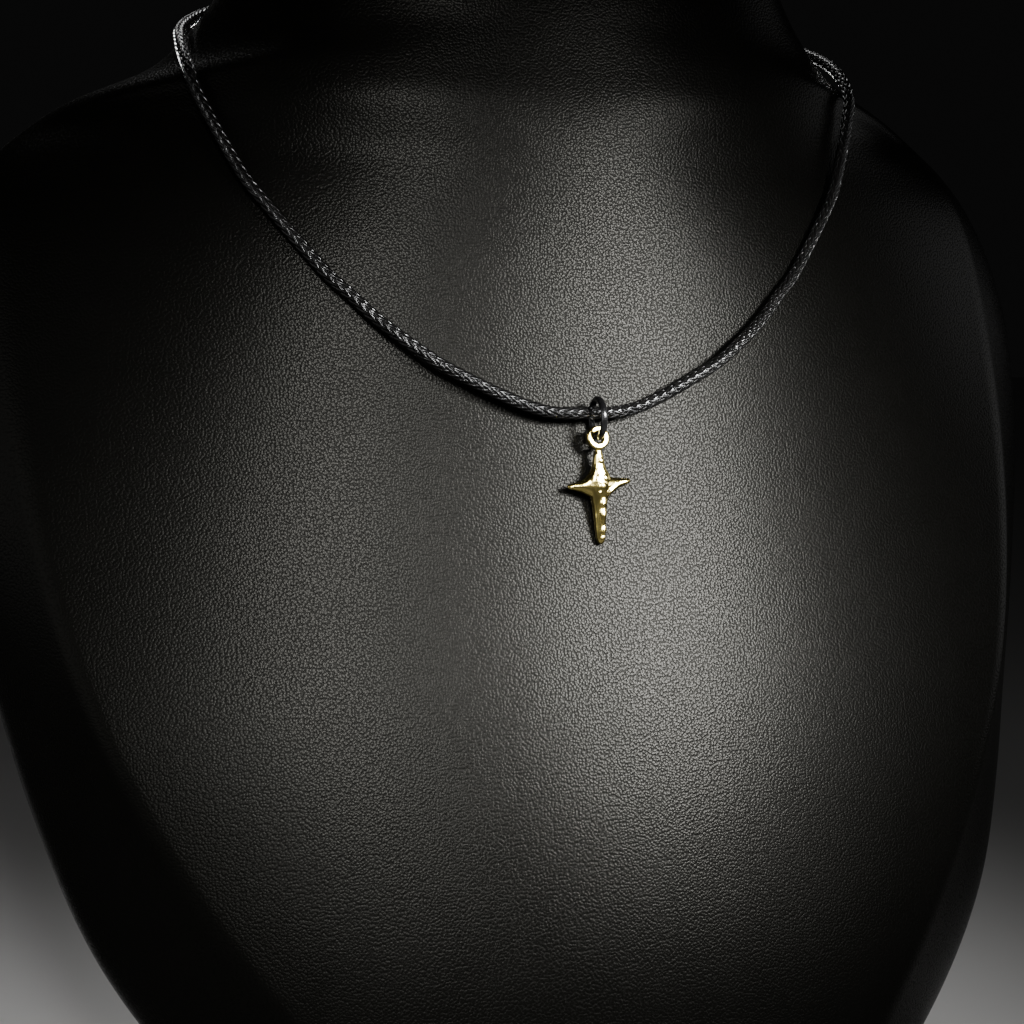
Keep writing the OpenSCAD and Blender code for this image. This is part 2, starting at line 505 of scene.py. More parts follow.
@dataclass(frozen=True)
class CastGold:
    """Polished pale yellow gold, with painted shade that browns it in the casting's hollows."""

    gold: Colour = (0.95, 0.77, 0.24)
    # painted shade: the brown that the casting's hollows take
    painted_hollow_shade: Colour = (0.5, 0.33, 0.07)
    hollow_layer: str = "painted_hollow_shade"
    hollow_share: float = 0.85
    cloud: float = 0.7 * MM
    cloud_share: float = 0.25
    roughness: float = 0.11
    shade_and_cloud_roughens: float = 0.12
    cloud_roughens: float = 0.05
    coat_weight: float = 0.5
    coat_roughness: float = 0.06
    ripple: float = 0.45 * MM
    ripple_depth: float = 0.012 * MM

    def material(self) -> bpy.types.Material:
        """The finished material.

        Returns:
            The material.
        """
        paint = Paint("Cast gold")
        deep = paint.add(
            "ShaderNodeAttribute", {"attribute_name": self.hollow_layer}, output="Fac"
        )
        cloud = paint.noise(self.cloud, detail=3.0)
        # Painted shade: the gold browns in the hollows, mixed with a random cloudy tone that is the
        # metal's own.
        shade_and_cloud = (deep * self.hollow_share + (cloud - 0.5) * self.cloud_share).clamped()
        paint.set(
            Base_Color=paint.blend(shade_and_cloud, self.gold, self.painted_hollow_shade),
            Metallic=1.0,
            Roughness=self.roughness + shade_and_cloud * self.shade_and_cloud_roughens + cloud * self.cloud_roughens,
            Coat_Weight=self.coat_weight,
            Coat_Roughness=self.coat_roughness,
            Normal=paint.relief(paint.noise(self.ripple, detail=3.0), self.ripple_depth),
        )
        return paint.material


@dataclass(frozen=True)
class PaleBoard:
    """Matt pale board for the floor."""

    tone: Colour = (0.62, 0.61, 0.6)
    roughness: float = 0.85

    def material(self) -> bpy.types.Material:
        """The finished material.

        Returns:
            The material.
        """
        paint = Paint("Pale board")
        paint.set(Base_Color=(*self.tone, 1.0), Roughness=self.roughness)
        return paint.material


# Meshes


def mesh_object(
    name: str, points: Iterable[Sequence[float]], faces: Iterable[Sequence[int]]
) -> bpy.types.Object:
    """A smooth shaded mesh object in the scene.

    Args:
        name: Name of the object and its mesh.
        points: Its vertices.
        faces: Its faces as vertex numbers.

    Returns:
        The object, at the origin.
    """
    mesh = bpy.data.meshes.new(name)
    mesh.from_pydata([tuple(p) for p in points], [], [tuple(f) for f in faces])
    mesh.validate()
    obj = bpy.data.objects.new(name, mesh)
    bpy.context.scene.collection.objects.link(obj)
    for polygon in mesh.polygons:
        polygon.use_smooth = True
    return obj


def ring_faces(rings: int, sides: int, closed: bool = False) -> list[tuple[int, ...]]:
    """Faces of a skin over rings of points.

    Args:
        rings: Number of rings.
        sides: Points of a ring, anticlockwise as seen from ahead of the path.
        closed: The last ring joins the first, so there are no caps.

    Returns:
        Quads, and a face over each end of an open skin.
    """
    faces = []
    for i in range(rings if closed else rings - 1):
        for j in range(sides):
            a, b = i * sides + j, i * sides + (j + 1) % sides
            c, d = (b + sides) % (rings * sides), (a + sides) % (rings * sides)
            faces.append((a, b, c, d))
    if not closed:
        faces.append(tuple(range(sides - 1, -1, -1)))
        faces.append(tuple((rings - 1) * sides + j for j in range(sides)))
    return faces


def outward_faces(obj: bpy.types.Object) -> None:
    """Merges an object's touching points and turns its faces outwards.

    Args:
        obj: The object, whose mesh is changed.
    """
    work = bmesh.new()
    work.from_mesh(obj.data)
    bmesh.ops.remove_doubles(work, verts=work.verts, dist=TOUCHING)
    bmesh.ops.recalc_face_normals(work, faces=work.faces)
    work.to_mesh(obj.data)
    work.free()


def apply_modifiers(obj: bpy.types.Object) -> None:
    """Turns an object's evaluated shape into its plain mesh and drops its modifiers.

    Args:
        obj: The object.
    """
    graph = bpy.context.evaluated_depsgraph_get()
    mesh = bpy.data.meshes.new_from_object(obj.evaluated_get(graph), depsgraph=graph)
    old = obj.data
    obj.modifiers.clear()
    obj.data = mesh
    mesh.name = obj.name
    bpy.data.meshes.remove(old)


def smooth_path(route: Sequence[Sequence[float]], steps: int) -> np.ndarray:
    """Points on the smooth curve through a route, as the model's own cord is drawn.

    Args:
        route: Points of the route.
        steps: Steps from each point to the next.

    Returns:
        The points, one row each.
    """
    points = np.array(route, float)
    slopes = np.empty_like(points)
    slopes[1:-1] = (points[2:] - points[:-2]) / 2
    slopes[0], slopes[-1] = (points[1] - points[0]) / 2, (points[-1] - points[-2]) / 2
    made = []
    for a, b, p, q in zip(points, points[1:], slopes, slopes[1:]):
        for t in np.linspace(0, 1, steps, endpoint=False):
            made.append(
                a * (2 * t**3 - 3 * t**2 + 1)
                + b * (3 * t**2 - 2 * t**3)
                + p * (t**3 - 2 * t**2 + t)
                + q * (t**3 - t**2)
            )
    made.append(points[-1])
    return np.array(made)


# The view


def direction(azimuth: float, elevation: float) -> Vector:
    """The way out from the chest at two angles.

    Args:
        azimuth: Degrees from the front to the right.
        elevation: Degrees above the horizon.

    Returns:
        The unit vector.
    """
    a, e = math.radians(azimuth), math.radians(elevation)
    return Vector((math.sin(a) * math.cos(e), -math.cos(a) * math.cos(e), math.sin(e)))


@dataclass(frozen=True)
class Lamp:
    """A square soft box with a grid over it, which keeps its light in a cone.

    The azimuth runs from the front to the right. Both angles and the spread are in degrees,
    away is the distance from the chest, and the power is in watts.
    """

    name: str
    azimuth: float
    elevation: float
    away: float
    size: float
    spread: float
    power: float
    aim: Place = (0.0, 0.0, 0.12)

    def build(self) -> None:
        """Hangs the lamp in its place round the chest and turns it to its aim."""
        data = bpy.data.lights.new(self.name, "AREA")
        data.shape, data.size, data.energy = "SQUARE", self.size, self.power
        data.spread = math.radians(self.spread)
        lamp = bpy.data.objects.new(self.name, data)
        bpy.context.scene.collection.objects.link(lamp)
        lamp.location = Vector(CHEST) + direction(self.azimuth, self.elevation) * self.away
        lamp.rotation_mode = "QUATERNION"
        lamp.rotation_quaternion = (lamp.location - Vector(self.aim)).to_track_quat("Z", "Y")


@dataclass
class Studio:
    """Camera at the photograph's angle, soft lights and a pale floor."""

    eye: Place = (-0.1105, -0.3233, 0.1428)
    azimuth: float = -18.0
    elevation: float = 6.0
    lens: float = 70.3125
    sensor: float = 36.0
    nearest: float = 0.01
    furthest: float = 20.0
    floor_size: float = 6.0
    backdrop: Colour = (0.5, 0.5, 0.5)
    backdrop_strength: float = 0.008
    lamps: tuple[Lamp, ...] = (
        Lamp("Key", 27, 16, 0.3, 0.085, 29, 0.155, (0.004, -0.02, 0.099)),
        Lamp("Fill", -10, 19, 0.4, 0.12, 26, 0.078, (-0.02, -0.02, 0.096)),
        Lamp("Low left", -26, 6, 0.4, 0.12, 30, 0.013, (-0.05, -0.04, 0.06)),
        Lamp("Low right", 44, 6, 0.4, 0.12, 30, 0.012, (0.06, -0.03, 0.06)),
        Lamp("Left panel", -70, 8, 0.7, 0.4, 150, 0.36),
        Lamp("Front panel", -24, 10, 0.9, 0.9, 150, 0.2),
        Lamp("Right side", 95, 8, 0.8, 0.5, 50, 0.05),
        Lamp("Left side", -100, 8, 0.8, 0.5, 50, 0.05),
        Lamp("Back left", -158, 3, 0.5, 0.2, 26, 0.12, (-0.02, 0.04, 0.15)),
        Lamp("Back right", 158, 3, 0.5, 0.2, 26, 0.13, (0.01, 0.04, 0.15)),
        Lamp("Top", 180, 60, 0.5, 0.25, 34, 0.1, (0, 0.02, 0.2)),
    )

    def camera(self) -> None:
        """Makes the scene's camera, which looks at the chest from the left and a little above."""
        data = bpy.data.cameras.new("Camera")
        data.lens, data.sensor_width = self.lens, self.sensor
        data.clip_start, data.clip_end = self.nearest, self.furthest
        camera = bpy.data.objects.new("Camera", data)
        bpy.context.scene.collection.objects.link(camera)
        back = direction(self.azimuth, self.elevation)
        camera.location = self.eye
        camera.rotation_mode = "QUATERNION"
        camera.rotation_quaternion = back.to_track_quat("Z", "Y")
        bpy.context.scene.camera = camera

    def floor(self) -> None:
        """The pale floor, which isn't part of the object."""
        half = self.floor_size / 2
        corners = [(-half, -half, 0), (half, -half, 0), (half, half, 0), (-half, half, 0)]
        floor = mesh_object("floor", corners, [(0, 1, 2, 3)])
        floor.data.materials.append(PaleBoard().material())

    def backdrop_light(self) -> None:
        """Even grey surroundings."""
        world = bpy.data.worlds.new("Studio")
        world.use_nodes = True
        shade = world.node_tree.nodes["Background"]
        shade.inputs["Color"].default_value = (*self.backdrop, 1.0)
        shade.inputs["Strength"].default_value = self.backdrop_strength
        bpy.context.scene.world = world

    def build(self) -> None:
        """Lights and floor."""
        for lamp in self.lamps:
            lamp.build()
        self.floor()
        self.backdrop_light()


# The cord


@dataclass
class Braid:
    """The waxed cord: a round braid of flat yarns over a core, along the model's own route.

    carriers is the number of yarns each way round, and lead is how far a yarn goes along
    the cord in one turn. ride is how far it rises over the yarns that it crosses, fullness
    is how far it stands out past the nominal thickness, and the route is in millimetres.
    """

    UV_NAME = "flow"

    thickness: float = 2.0 * MM
    carriers: int = 8
    lead: float = 13.6 * MM
    yarn_width: float = 0.6 * MM
    yarn_height: float = 0.3 * MM
    ride: float = 0.045 * MM
    fullness: float = 0.05 * MM
    core: float = 0.88 * MM
    step: float = 0.57 * MM
    yarn_sides: int = 6
    core_sides: int = 12
    route_steps: int = 12
    middle: Place = (0, -22.8, 125.1)
    half_route: tuple[Place, ...] = (
        (9, -22.3, 126),
        (22, -20.5, 132),
        (28, -18.9, 136),
        (33, -16.8, 140),
        (37, -14.9, 144),
        (41, -12.9, 148),
        (49, -7.9, 158.5),
        (52.5, -4.7, 164),
        (57.4, 0.9, 175),
        (58.9, 3.8, 180),
        (59.1, 10, 184.8),
        (57.6, 18.5, 188.4),
        (52.6, 28.2, 192),
        (43.8, 37.4, 195.5),
        (31.5, 45, 198.5),
        (20, 49.2, 200),
        (13, 51.2, 200.4),
        (8, 52.2, 200.5),
        (4.2, 52.2, 200.5),
    )

    def route(self) -> np.ndarray:
        """The cord's centre line, from the left socket round the front to the right one."""
        left = [(-x, y, z) for x, y, z in reversed(self.half_route)]
        return smooth_path([*left, self.middle, *self.half_route], self.route_steps) * MM

    def empty_tree(self) -> bpy.types.NodeTree:
        """A geometry tree with inputs for the line, the braid's sizes and its material.

        Returns:
            The tree, still without nodes.
        """
        tree = bpy.data.node_groups.new("Round braid", "GeometryNodeTree")
        inputs = {"Line": "Geometry", "Carriers": "Int"}
        for size in ("Lead", "Reach", "Ride", "Yarn width", "Yarn height", "Core", "Step"):
            inputs[size] = "Float"
        inputs["Material"] = "Material"
        for name, kind in inputs.items():
            tree.interface.new_socket(name, in_out="INPUT", socket_type=f"NodeSocket{kind}")
        tree.interface.new_socket("Braid", in_out="OUTPUT", socket_type="NodeSocketGeometry")
        return tree

    def winding(self, g: Graph, given: Signal, line: Signal) -> tuple[Signal, Signal]:
        """The yarns' own lines, wound round the cord's line.

        Even numbers turn one way and odd ones the other, and each rises and dips in time
        with the yarns that it crosses.

        Args:
            g: The tree.
            given: Its inputs.
            line: The cord's line in equal steps.

        Returns:
            The lines, and how far along the cord each of their points is.
        """
        copies = g.add(
            "GeometryNodeDuplicateElements",
            {"domain": "SPLINE"},
            {"Geometry": line, "Amount": given.out("Carriers") * 2},
        )
        number = copies.out("Duplicate Index")
        hand = 1 - (number % 2) * 2
        seat = (number / 2).math("FLOOR") / given.out("Carriers")
        length = g.add("GeometryNodeSplineParameter", output="Length")
        angle = (seat + hand * length / given.out("Lead")) * (2 * math.pi)
        wave = angle * (given.out("Carriers") / 2) - math.pi / 4
        reach = given.out("Reach") + hand * given.out("Ride") * wave.math("COSINE")

        normal = g.add("GeometryNodeInputNormal")
        side = g.vector("CROSS_PRODUCT", g.add("GeometryNodeInputTangent"), normal)
        outward = g.vector(
            "ADD", g.scaled(normal, angle.math("COSINE")), g.scaled(side, angle.math("SINE"))
        )
        kept = g.captured(copies, {"Outward": ("VECTOR", outward), "Along": ("FLOAT", length)})
        outward = kept.out("Outward")
        moved = g.add(
            "GeometryNodeSetPosition",
            places={"Geometry": kept, "Offset": g.scaled(outward, reach)},
        )
        turned = g.add(
            "GeometryNodeSetCurveNormal", {"mode": "FREE"}, {"Curve": moved, "Normal": outward}
        )
        return turned, kept.out("Along")

    def yarns(self, g: Graph, given: Signal, lines: Signal, along: Signal) -> Signal:
        """Flat oval yarns, swept along their lines.

        Args:
            g: The tree.
            given: Its inputs.
            lines: The yarns' lines.
            along: How far along the cord each of their points is.

        Returns:
            The yarns' mesh, whose own map runs along and round each yarn.
        """
        circle = g.add(
            "GeometryNodeCurvePrimitiveCircle",
            places={"Resolution": self.yarn_sides, "Radius": 0.5},
        )
        around = g.add("GeometryNodeSplineParameter", output="Factor")
        rim = g.captured(circle, {"Around": ("FLOAT", around)})
        size = g.add(
            "ShaderNodeCombineXYZ",
            places={"X": given.out("Yarn height"), "Y": given.out("Yarn width"), "Z": 1.0},
        )
        oval = g.add("GeometryNodeTransform", places={"Geometry": rim, "Scale": size})
        swept = g.add(
            "GeometryNodeCurveToMesh",
            places={"Curve": lines, "Profile Curve": oval, "Fill Caps": True},
        )
        flow = g.add("ShaderNodeCombineXYZ", places={"X": along, "Y": rim.out("Around")})
        return g.add(
            "GeometryNodeStoreNamedAttribute",
            {"data_type": "FLOAT2", "domain": "CORNER"},
            {"Geometry": swept, "Name": self.UV_NAME, "Value": flow},
        )

    def heart(self, g: Graph, given: Signal, line: Signal) -> Signal:
        """The round core, which closes the gaps between the yarns.

        Args:
            g: The tree.
            given: Its inputs.
            line: The cord's line in equal steps.

        Returns:
            The core's mesh.
        """
        circle = g.add(
            "GeometryNodeCurvePrimitiveCircle",
            places={"Resolution": self.core_sides, "Radius": given.out("Core")},
        )
        return g.add(
            "GeometryNodeCurveToMesh",
            places={"Curve": line, "Profile Curve": circle, "Fill Caps": True},
        )

    def tree(self) -> bpy.types.NodeTree:
        """The node tree that braids yarns round a line.

        Returns:
            A geometry tree whose inputs carry the braid's sizes.
        """
        tree = self.empty_tree()
        g = Graph(tree)
        given = g.add("NodeGroupInput")
        line = g.add("GeometryNodeMeshToCurve", places={"Mesh": given.out("Line")})
        line = g.add(
            "GeometryNodeResampleCurve",
            {"mode": "LENGTH"},
            {"Curve": line, "Length": given.out("Step")},
        )
        lines, along = self.winding(g, given, line)
        yarns = self.yarns(g, given, lines, along)
        joined = g.add("GeometryNodeJoinGeometry", places={"Geometry": yarns})
        tree.links.new(self.heart(g, given, line).socket, joined.socket.node.inputs[0])
        smooth = g.add("GeometryNodeSetShadeSmooth", places={"Geometry": joined})
        real = g.add("GeometryNodeRealizeInstances", places={"Geometry": smooth})
        dressed = g.add(
            "GeometryNodeSetMaterial",
            places={"Geometry": real, "Material": given.out("Material")},
        )
        end = tree.nodes.new("NodeGroupOutput")
        tree.links.new(dressed.socket, end.inputs["Braid"])
        return tree

    def build(self) -> bpy.types.Object:
        """The cord, parented to the root body.

        Returns:
            Its object.
        """
        path = self.route()
        host = mesh_object("braided_cord", path, [])
        host.data.edges.add(len(path) - 1)
        for i, edge in enumerate(host.data.edges):
            edge.vertices = (i, i + 1)
        tree = self.tree()
        wind = host.modifiers.new("Braid", "NODES")
        wind.node_group = tree
        values = {
            "Carriers": self.carriers,
            "Lead": self.lead,
            "Reach": self.thickness / 2 + self.fullness - self.ride - self.yarn_height / 2,
            "Ride": self.ride,
            "Yarn width": self.yarn_width,
            "Yarn height": self.yarn_height,
            "Core": self.core,
            "Step": self.step,
            "Material": WaxedCord().material(),
        }
        for item in tree.interface.items_tree:
            if item.name in values and item.in_out == "INPUT":
                wind[item.identifier] = values[item.name]
        apply_modifiers(host)
        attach(host, BODY)
        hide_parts("cord")
        return host


# The bust


@dataclass
class Bust:
    """The neck bust: a smooth skin over the model's own rings, wrapped in leatherette.

    sides is the number of points in a ring, and border is the one at the face's edge,
    counted from the middle of the front.
    """

    sides: int = 46
    border: int = 10
    border_crease: float = 0.85
    border_full_below: float = 150 * MM
    border_none_above: float = 178 * MM
    levels: int = 2

    def rings(self, node: bpy.types.Object) -> list[list[Vector]]:
        """The model's points, sorted into its level rings.

        Args:
            node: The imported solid, whose mesh is left as it is.

        Returns:
            Rings from the foot up, each from the middle of the front anticlockwise as seen
            from above.
        """
        copy = bmesh.new()
        copy.from_mesh(node.data)
        bmesh.ops.remove_doubles(copy, verts=copy.verts, dist=MICRON)
        levels: dict[int, list[Vector]] = {}
        for vert in copy.verts:
            levels.setdefault(round(vert.co.z / MICRON), []).append(vert.co.copy())
        copy.free()
        rings = []
        for height in sorted(levels):
            ring = levels[height]
            if len(ring) != self.sides:
                raise ValueError(f"a ring at {height} has {len(ring)} points")
            middle = sum(p.y for p in ring) / len(ring)
            ring.sort(key=lambda p: math.atan2(p.x, middle - p.y) % (2 * math.pi))
            start = min(range(len(ring)), key=lambda i: (abs(ring[i].x) > MICRON, ring[i].y))
            rings.append(ring[start:] + ring[:start])
        return rings

    def crease_at(self, height: float) -> float:
        """How sharply the face's border is creased, fading out towards the neck.

        Args:
            height: Height above the floor.

        Returns:
            The crease there.
        """
        reach = self.border_none_above - self.border_full_below
        fade = (height - self.border_full_below) / reach
        return self.border_crease * min(1.0, max(0.0, 1.0 - fade))

    def build(self, node: bpy.types.Object) -> bpy.types.Object:
        """The dressed bust.

        Args:
            node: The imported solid.

        Returns:
            Its object.
        """
        rings = self.rings(node)
        points = [p for ring in rings for p in ring]
        bust = mesh_object("neck_bust", points, ring_faces(len(rings), self.sides))
        mesh = bust.data
        creases = mesh.attributes.new("crease_edge", "FLOAT", "EDGE")
        columns = {self.border, self.sides - self.border}
        for edge in mesh.edges:
            a, b = sorted(edge.vertices)
            if b - a == self.sides and a % self.sides in columns:
                creases.data[edge.index].value = self.crease_at(mesh.vertices[a].co.z)
        skin = bust.modifiers.new("Skin", "SUBSURF")
        skin.levels = skin.render_levels = self.levels
        apply_modifiers(bust)
        bust.data.materials.append(Leatherette().material())
        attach(bust, BODY)
        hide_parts("bust_form")
        return bust


# The metal pieces


@dataclass
class Loop:
    """The black jump ring, bent from round wire with its two ends almost closed at the back.

    end_round is how much of the wire's half thickness is rounded off at its cut ends.
    """

    centre: Place = (1.2 * MM, -23.85 * MM, 124.3 * MM)
    outside: float = 7.1 * MM
    wire: float = 1.1 * MM
    cut: float = 0.1 * MM
    end_round: float = 0.12
    bends: int = 120
    sides: int = 24

    def build(self) -> bpy.types.Object:
        """The dressed ring.

        Returns:
            Its object.
        """
        radius, thick = (self.outside - self.wire) / 2, self.wire / 2
        gap = self.cut / radius
        start, stop = gap / 2, 2 * math.pi - gap / 2
        rounding = self.end_round * thick
        spots = [(start, thick - rounding), (start + rounding / radius, thick)]
        for i in range(2, self.bends - 1):
            spots.append((start + (2 * math.pi - gap) * i / self.bends, thick))
        spots += [(stop - rounding / radius, thick), (stop, thick - rounding)]
        points = []
        for angle, size in spots:
            outward = Vector((0, math.cos(angle), math.sin(angle)))
            for j in range(self.sides):
                turn = 2 * math.pi * j / self.sides
                across = Vector((math.sin(turn), 0, 0)) + outward * math.cos(turn)
                points.append(Vector(self.centre) + outward * radius + across * size)
        ring = mesh_object("jump_ring_wire", points, ring_faces(len(spots), self.sides))
        outward_faces(ring)
        ring.data.materials.append(BlackPlating().material())
        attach(ring, BODY)
        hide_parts("jump_ring")
        return ring


@dataclass
class Barrel:
    """The plain barrel clasp at the nape, drilled at each end for the cord."""

    centre: Place = (0.0, 52.2 * MM, 200.5 * MM)
    length: float = 14 * MM
    width: float = 4 * MM
    end_round: float = 0.8 * MM
    socket_depth: float = 4 * MM
    socket_radius: float = 1.2 * MM
    mouth_round: float = 0.15 * MM
    floor_dot: float = 0.01 * MM
    sides: int = 64

    def profile(self) -> list[tuple[float, float]]:
        """Half the barrel's outline from the floor of a socket to the middle.

        Returns:
            Pairs of place along the barrel and distance from its axis.
        """
        end, half = self.length / 2, self.width / 2
        hole, soft, lip = self.socket_radius, self.end_round, self.mouth_round
        line = [(end - self.socket_depth, self.floor_dot), (end - self.socket_depth, hole)]
        for turn in (0, 30, 60, 90):
            t = math.radians(turn)
            line.append((end - lip + lip * math.sin(t), hole + lip - lip * math.cos(t)))
        for turn in range(0, 91, 15):
            t = math.radians(turn)
            line.append((end - soft + soft * math.cos(t), half - soft + soft * math.sin(t)))
        line.append((0.0, half))
        return line

    def build(self) -> bpy.types.Object:
        """The dressed clasp.

        Returns:
            Its object.
        """
        right = self.profile()
        line = right + [(-x, r) for x, r in reversed(right[:-1])]
        points = []
        for x, r in line:
            for j in range(self.sides):
                turn = 2 * math.pi * j / self.sides
                place = Vector((x, r * math.cos(turn), r * math.sin(turn)))
                points.append(Vector(self.centre) + place)
        clasp = mesh_object("barrel_clasp", points, ring_faces(len(line), self.sides))
        outward_faces(clasp)
        clasp.data.materials.append(BlackPlating().material())
        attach(clasp, BODY)
        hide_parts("clasp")
        return clasp


# The gold casting


@dataclass(frozen=True)
class Bead:
    """A round of gold on a limb: its middle and its half sizes across and through, in mm."""

    x: float
    y: float
    z: float
    across: float
    through: float


@dataclass
class Casting:
    """The cross with its eye: limbs, ridges and beads of gold that have run into each other.

    Its own frame has the eye's middle at the origin, z up and the front at -y, in millimetres.
    The eye's wire has a flat front, which is tilted up and turned to the right by a few
    degrees, and eye_lift raises it clear of the jump ring. flatness tells how flat the front
    of a limb or a ridge is, where 2 is round. The limbs melt together in cells of one voxel,
    are softened, and regain the thickness that this takes.
    """

    hang_at: Place = (1.2 * MM, -23.85 * MM, 121.03 * MM)
    lean: float = 5.7
    eye_outside: float = 3.8
    eye_wire: float = 1.0
    eye_flatness: float = 5.5
    eye_tilt: float = 6.0
    eye_turn: float = 4.5
    eye_lift: float = 0.13
    eye_bends: int = 72
    voxel: float = 0.08
    softening: int = 12
    softening_share: float = 0.5
    regain: float = 0.06
    flatness: float = 2.9
    ridge_flatness: float = 2.1
    arm_ridge_flatness: float = 3.4
    arm_roll: float = 8.0
    stem_roll: float = 3.6
    dent_width: float = 1.3
    dent_depth: float = 0.03
    hollow_reach: int = 12
    hollow_depth: float = 0.035
    ball_start: int = 5
    ball_step: int = 17
    sides: int = 20

    stem: tuple[Bead, ...] = (
        Bead(0, 0, -1.5, 0.42, 0.42),
        Bead(0, 0, -2.0, 0.5, 0.48),
        Bead(-0.02, 0, -2.6, 0.68, 0.6),
        Bead(-0.02, 0, -3.2, 0.82, 0.68),
        Bead(-0.02, 0, -4.0, 0.9, 0.72),
        Bead(-0.02, 0, -4.7, 1.1, 0.83),
        Bead(-0.02, 0, -5.3, 1.4, 0.95),
        Bead(0, 0, -6.0, 1.75, 1.08),
        Bead(0, 0, -6.8, 1.95, 1.18),
        Bead(0, 0, -7.6, 1.9, 1.2),
        Bead(-0.02, 0, -8.6, 1.62, 1.1),
        Bead(-0.03, 0, -9.6, 1.36, 1.0),
        Bead(-0.05, 0, -10.6, 1.15, 0.9),
        Bead(-0.06, 0, -12.0, 0.98, 0.8),
        Bead(-0.06, 0, -13.5, 0.88, 0.73),
        Bead(-0.03, 0, -15.0, 0.78, 0.66),
        Bead(0, 0, -16.0, 0.68, 0.58),
        Bead(0.03, 0, -16.55, 0.48, 0.42),
        Bead(0.05, 0, -16.85, 0.2, 0.2),
    )
    left_arm: tuple[Bead, ...] = (
        Bead(-5.3, 0, -7.56, 0.24, 0.24),
        Bead(-5.1, 0, -7.56, 0.38, 0.36),
        Bead(-4.7, 0, -7.56, 0.48, 0.44),
        Bead(-3.9, 0, -7.58, 0.66, 0.56),
        Bead(-3.0, 0, -7.6, 0.92, 0.7),
        Bead(-2.3, 0, -7.6, 1.3, 0.84),
        Bead(-1.6, 0, -7.55, 1.85, 0.98),
        Bead(-0.8, 0, -7.4, 2.3, 1.05),
        Bead(0.2, 0, -7.3, 2.0, 1.0),
    )
    right_arm: tuple[Bead, ...] = (
        Bead(-0.2, 0, -7.3, 2.0, 1.0),
        Bead(0.8, 0, -7.4, 2.3, 1.05),
        Bead(1.4, 0, -7.5, 1.95, 0.98),
        Bead(2.0, 0, -7.4, 1.34, 0.86),
        Bead(2.7, 0, -7.26, 0.95, 0.7),
        Bead(3.5, 0, -7.1, 0.7, 0.56),
        Bead(4.3, 0, -6.97, 0.52, 0.45),
        Bead(5.0, 0, -6.88, 0.38, 0.35),
        Bead(5.25, 0, -6.86, 0.24, 0.24),
    )
    stem_ridge: tuple[Bead, ...] = (
        Bead(0.15, -0.55, -8.2, 0.5, 0.3),
        Bead(0.22, -0.62, -8.8, 0.6, 0.38),
        Bead(0.27, -0.57, -9.15, 0.6, 0.4),
        Bead(0.3, -0.65, -9.85, 0.72, 0.4),
        Bead(0.3, -0.73, -10.45, 0.62, 0.4),
        Bead(0.28, -0.56, -10.8, 0.5, 0.4),
        Bead(0.26, -0.52, -11.1, 0.56, 0.4),
        Bead(0.28, -0.6, -11.75, 0.66, 0.4),
        Bead(0.3, -0.66, -12.3, 0.5, 0.4),
        Bead(0.3, -0.62, -12.9, 0.38, 0.38),
        Bead(0.3, -0.5, -13.3, 0.34, 0.36),
        Bead(0.3, -0.38, -13.7, 0.36, 0.36),
        Bead(0.3, -0.38, -14.0, 0.46, 0.38),
        Bead(0.3, -0.45, -14.6, 0.52, 0.38),
        Bead(0.28, -0.48, -14.95, 0.42, 0.38),
        Bead(0.25, -0.34, -15.2, 0.38, 0.36),
        Bead(0.22, -0.33, -15.4, 0.42, 0.37),
        Bead(0.18, -0.39, -15.95, 0.44, 0.37),
        Bead(0.15, -0.34, -16.25, 0.34, 0.34),
        Bead(0.12, -0.15, -16.6, 0.2, 0.25),
    )
    arm_ridge: tuple[Bead, ...] = (
        Bead(0.9, -0.6, -9.0, 0.2, 0.25),
        Bead(1.15, -0.68, -8.75, 0.38, 0.34),
        Bead(1.55, -0.66, -8.3, 0.48, 0.34),
        Bead(2.05, -0.56, -7.85, 0.52, 0.33),
        Bead(2.6, -0.46, -7.5, 0.5, 0.32),
        Bead(3.3, -0.36, -7.2, 0.44, 0.3),
        Bead(4.2, -0.26, -7.0, 0.34, 0.28),
        Bead(4.9, -0.18, -6.9, 0.26, 0.24),
    )
    beads: tuple[Bead, ...] = (
        Bead(0.1, -0.41, -3.6, 0.7, 0.36),
        Bead(-0.25, -0.78, -6.2, 0.8, 0.34),
        Bead(0.6, -0.78, -6.5, 0.8, 0.36),
        Bead(0.15, -0.96, -7.7, 0.9, 0.36),
        Bead(-0.25, -0.98, -8.6, 0.34, 0.24),
        Bead(-4.7, -0.14, -7.62, 0.44, 0.36),
    )

    def section(self, step: int, squareness: float) -> tuple[float, float]:
        """A point on a limb's section, whose half sizes are 1.

        Args:
            step: Number of the point, from the side round the front.
            squareness: 2 is an oval, more has a flatter front with rounded sides.

        Returns:
            Its places across and through.
        """
        turn = 2 * math.pi * step / self.sides
        across, through = (
            math.copysign(abs(wave) ** (2 / squareness), wave)
            for wave in (math.cos(turn), math.sin(turn))
        )
        return across, through

    def limb(self, rows: Sequence[Bead], squareness: float = 2.0, roll: float = 0.0) -> Skin:
        """A closed oval tube through a row of rounds.

        Args:
            rows: The rounds, in order along the limb.
            squareness: 2 is an oval, more has a flatter front with rounded sides.
            roll: How far the front is turned round the limb, in degrees.

        Returns:
            Its points and faces.
        """
        places = [Vector((b.x, b.y, b.z)) for b in rows]
        points = []
        for i, bead in enumerate(rows):
            ahead = (places[min(i + 1, len(rows) - 1)] - places[max(i - 1, 0)]).normalized()
            across = ahead.cross(Vector((0, 1, 0))).normalized()
            through = across.cross(ahead)
            turn = Matrix.Rotation(math.radians(-roll), 3, ahead)
            across, through = turn @ across, turn @ through
            for j in range(self.sides):
                sideways, forwards = self.section(j, squareness)
                points.append(
                    places[i]
                    + across * (bead.across * sideways)
                    + through * (bead.through * forwards)
                )
        return points, ring_faces(len(rows), self.sides)

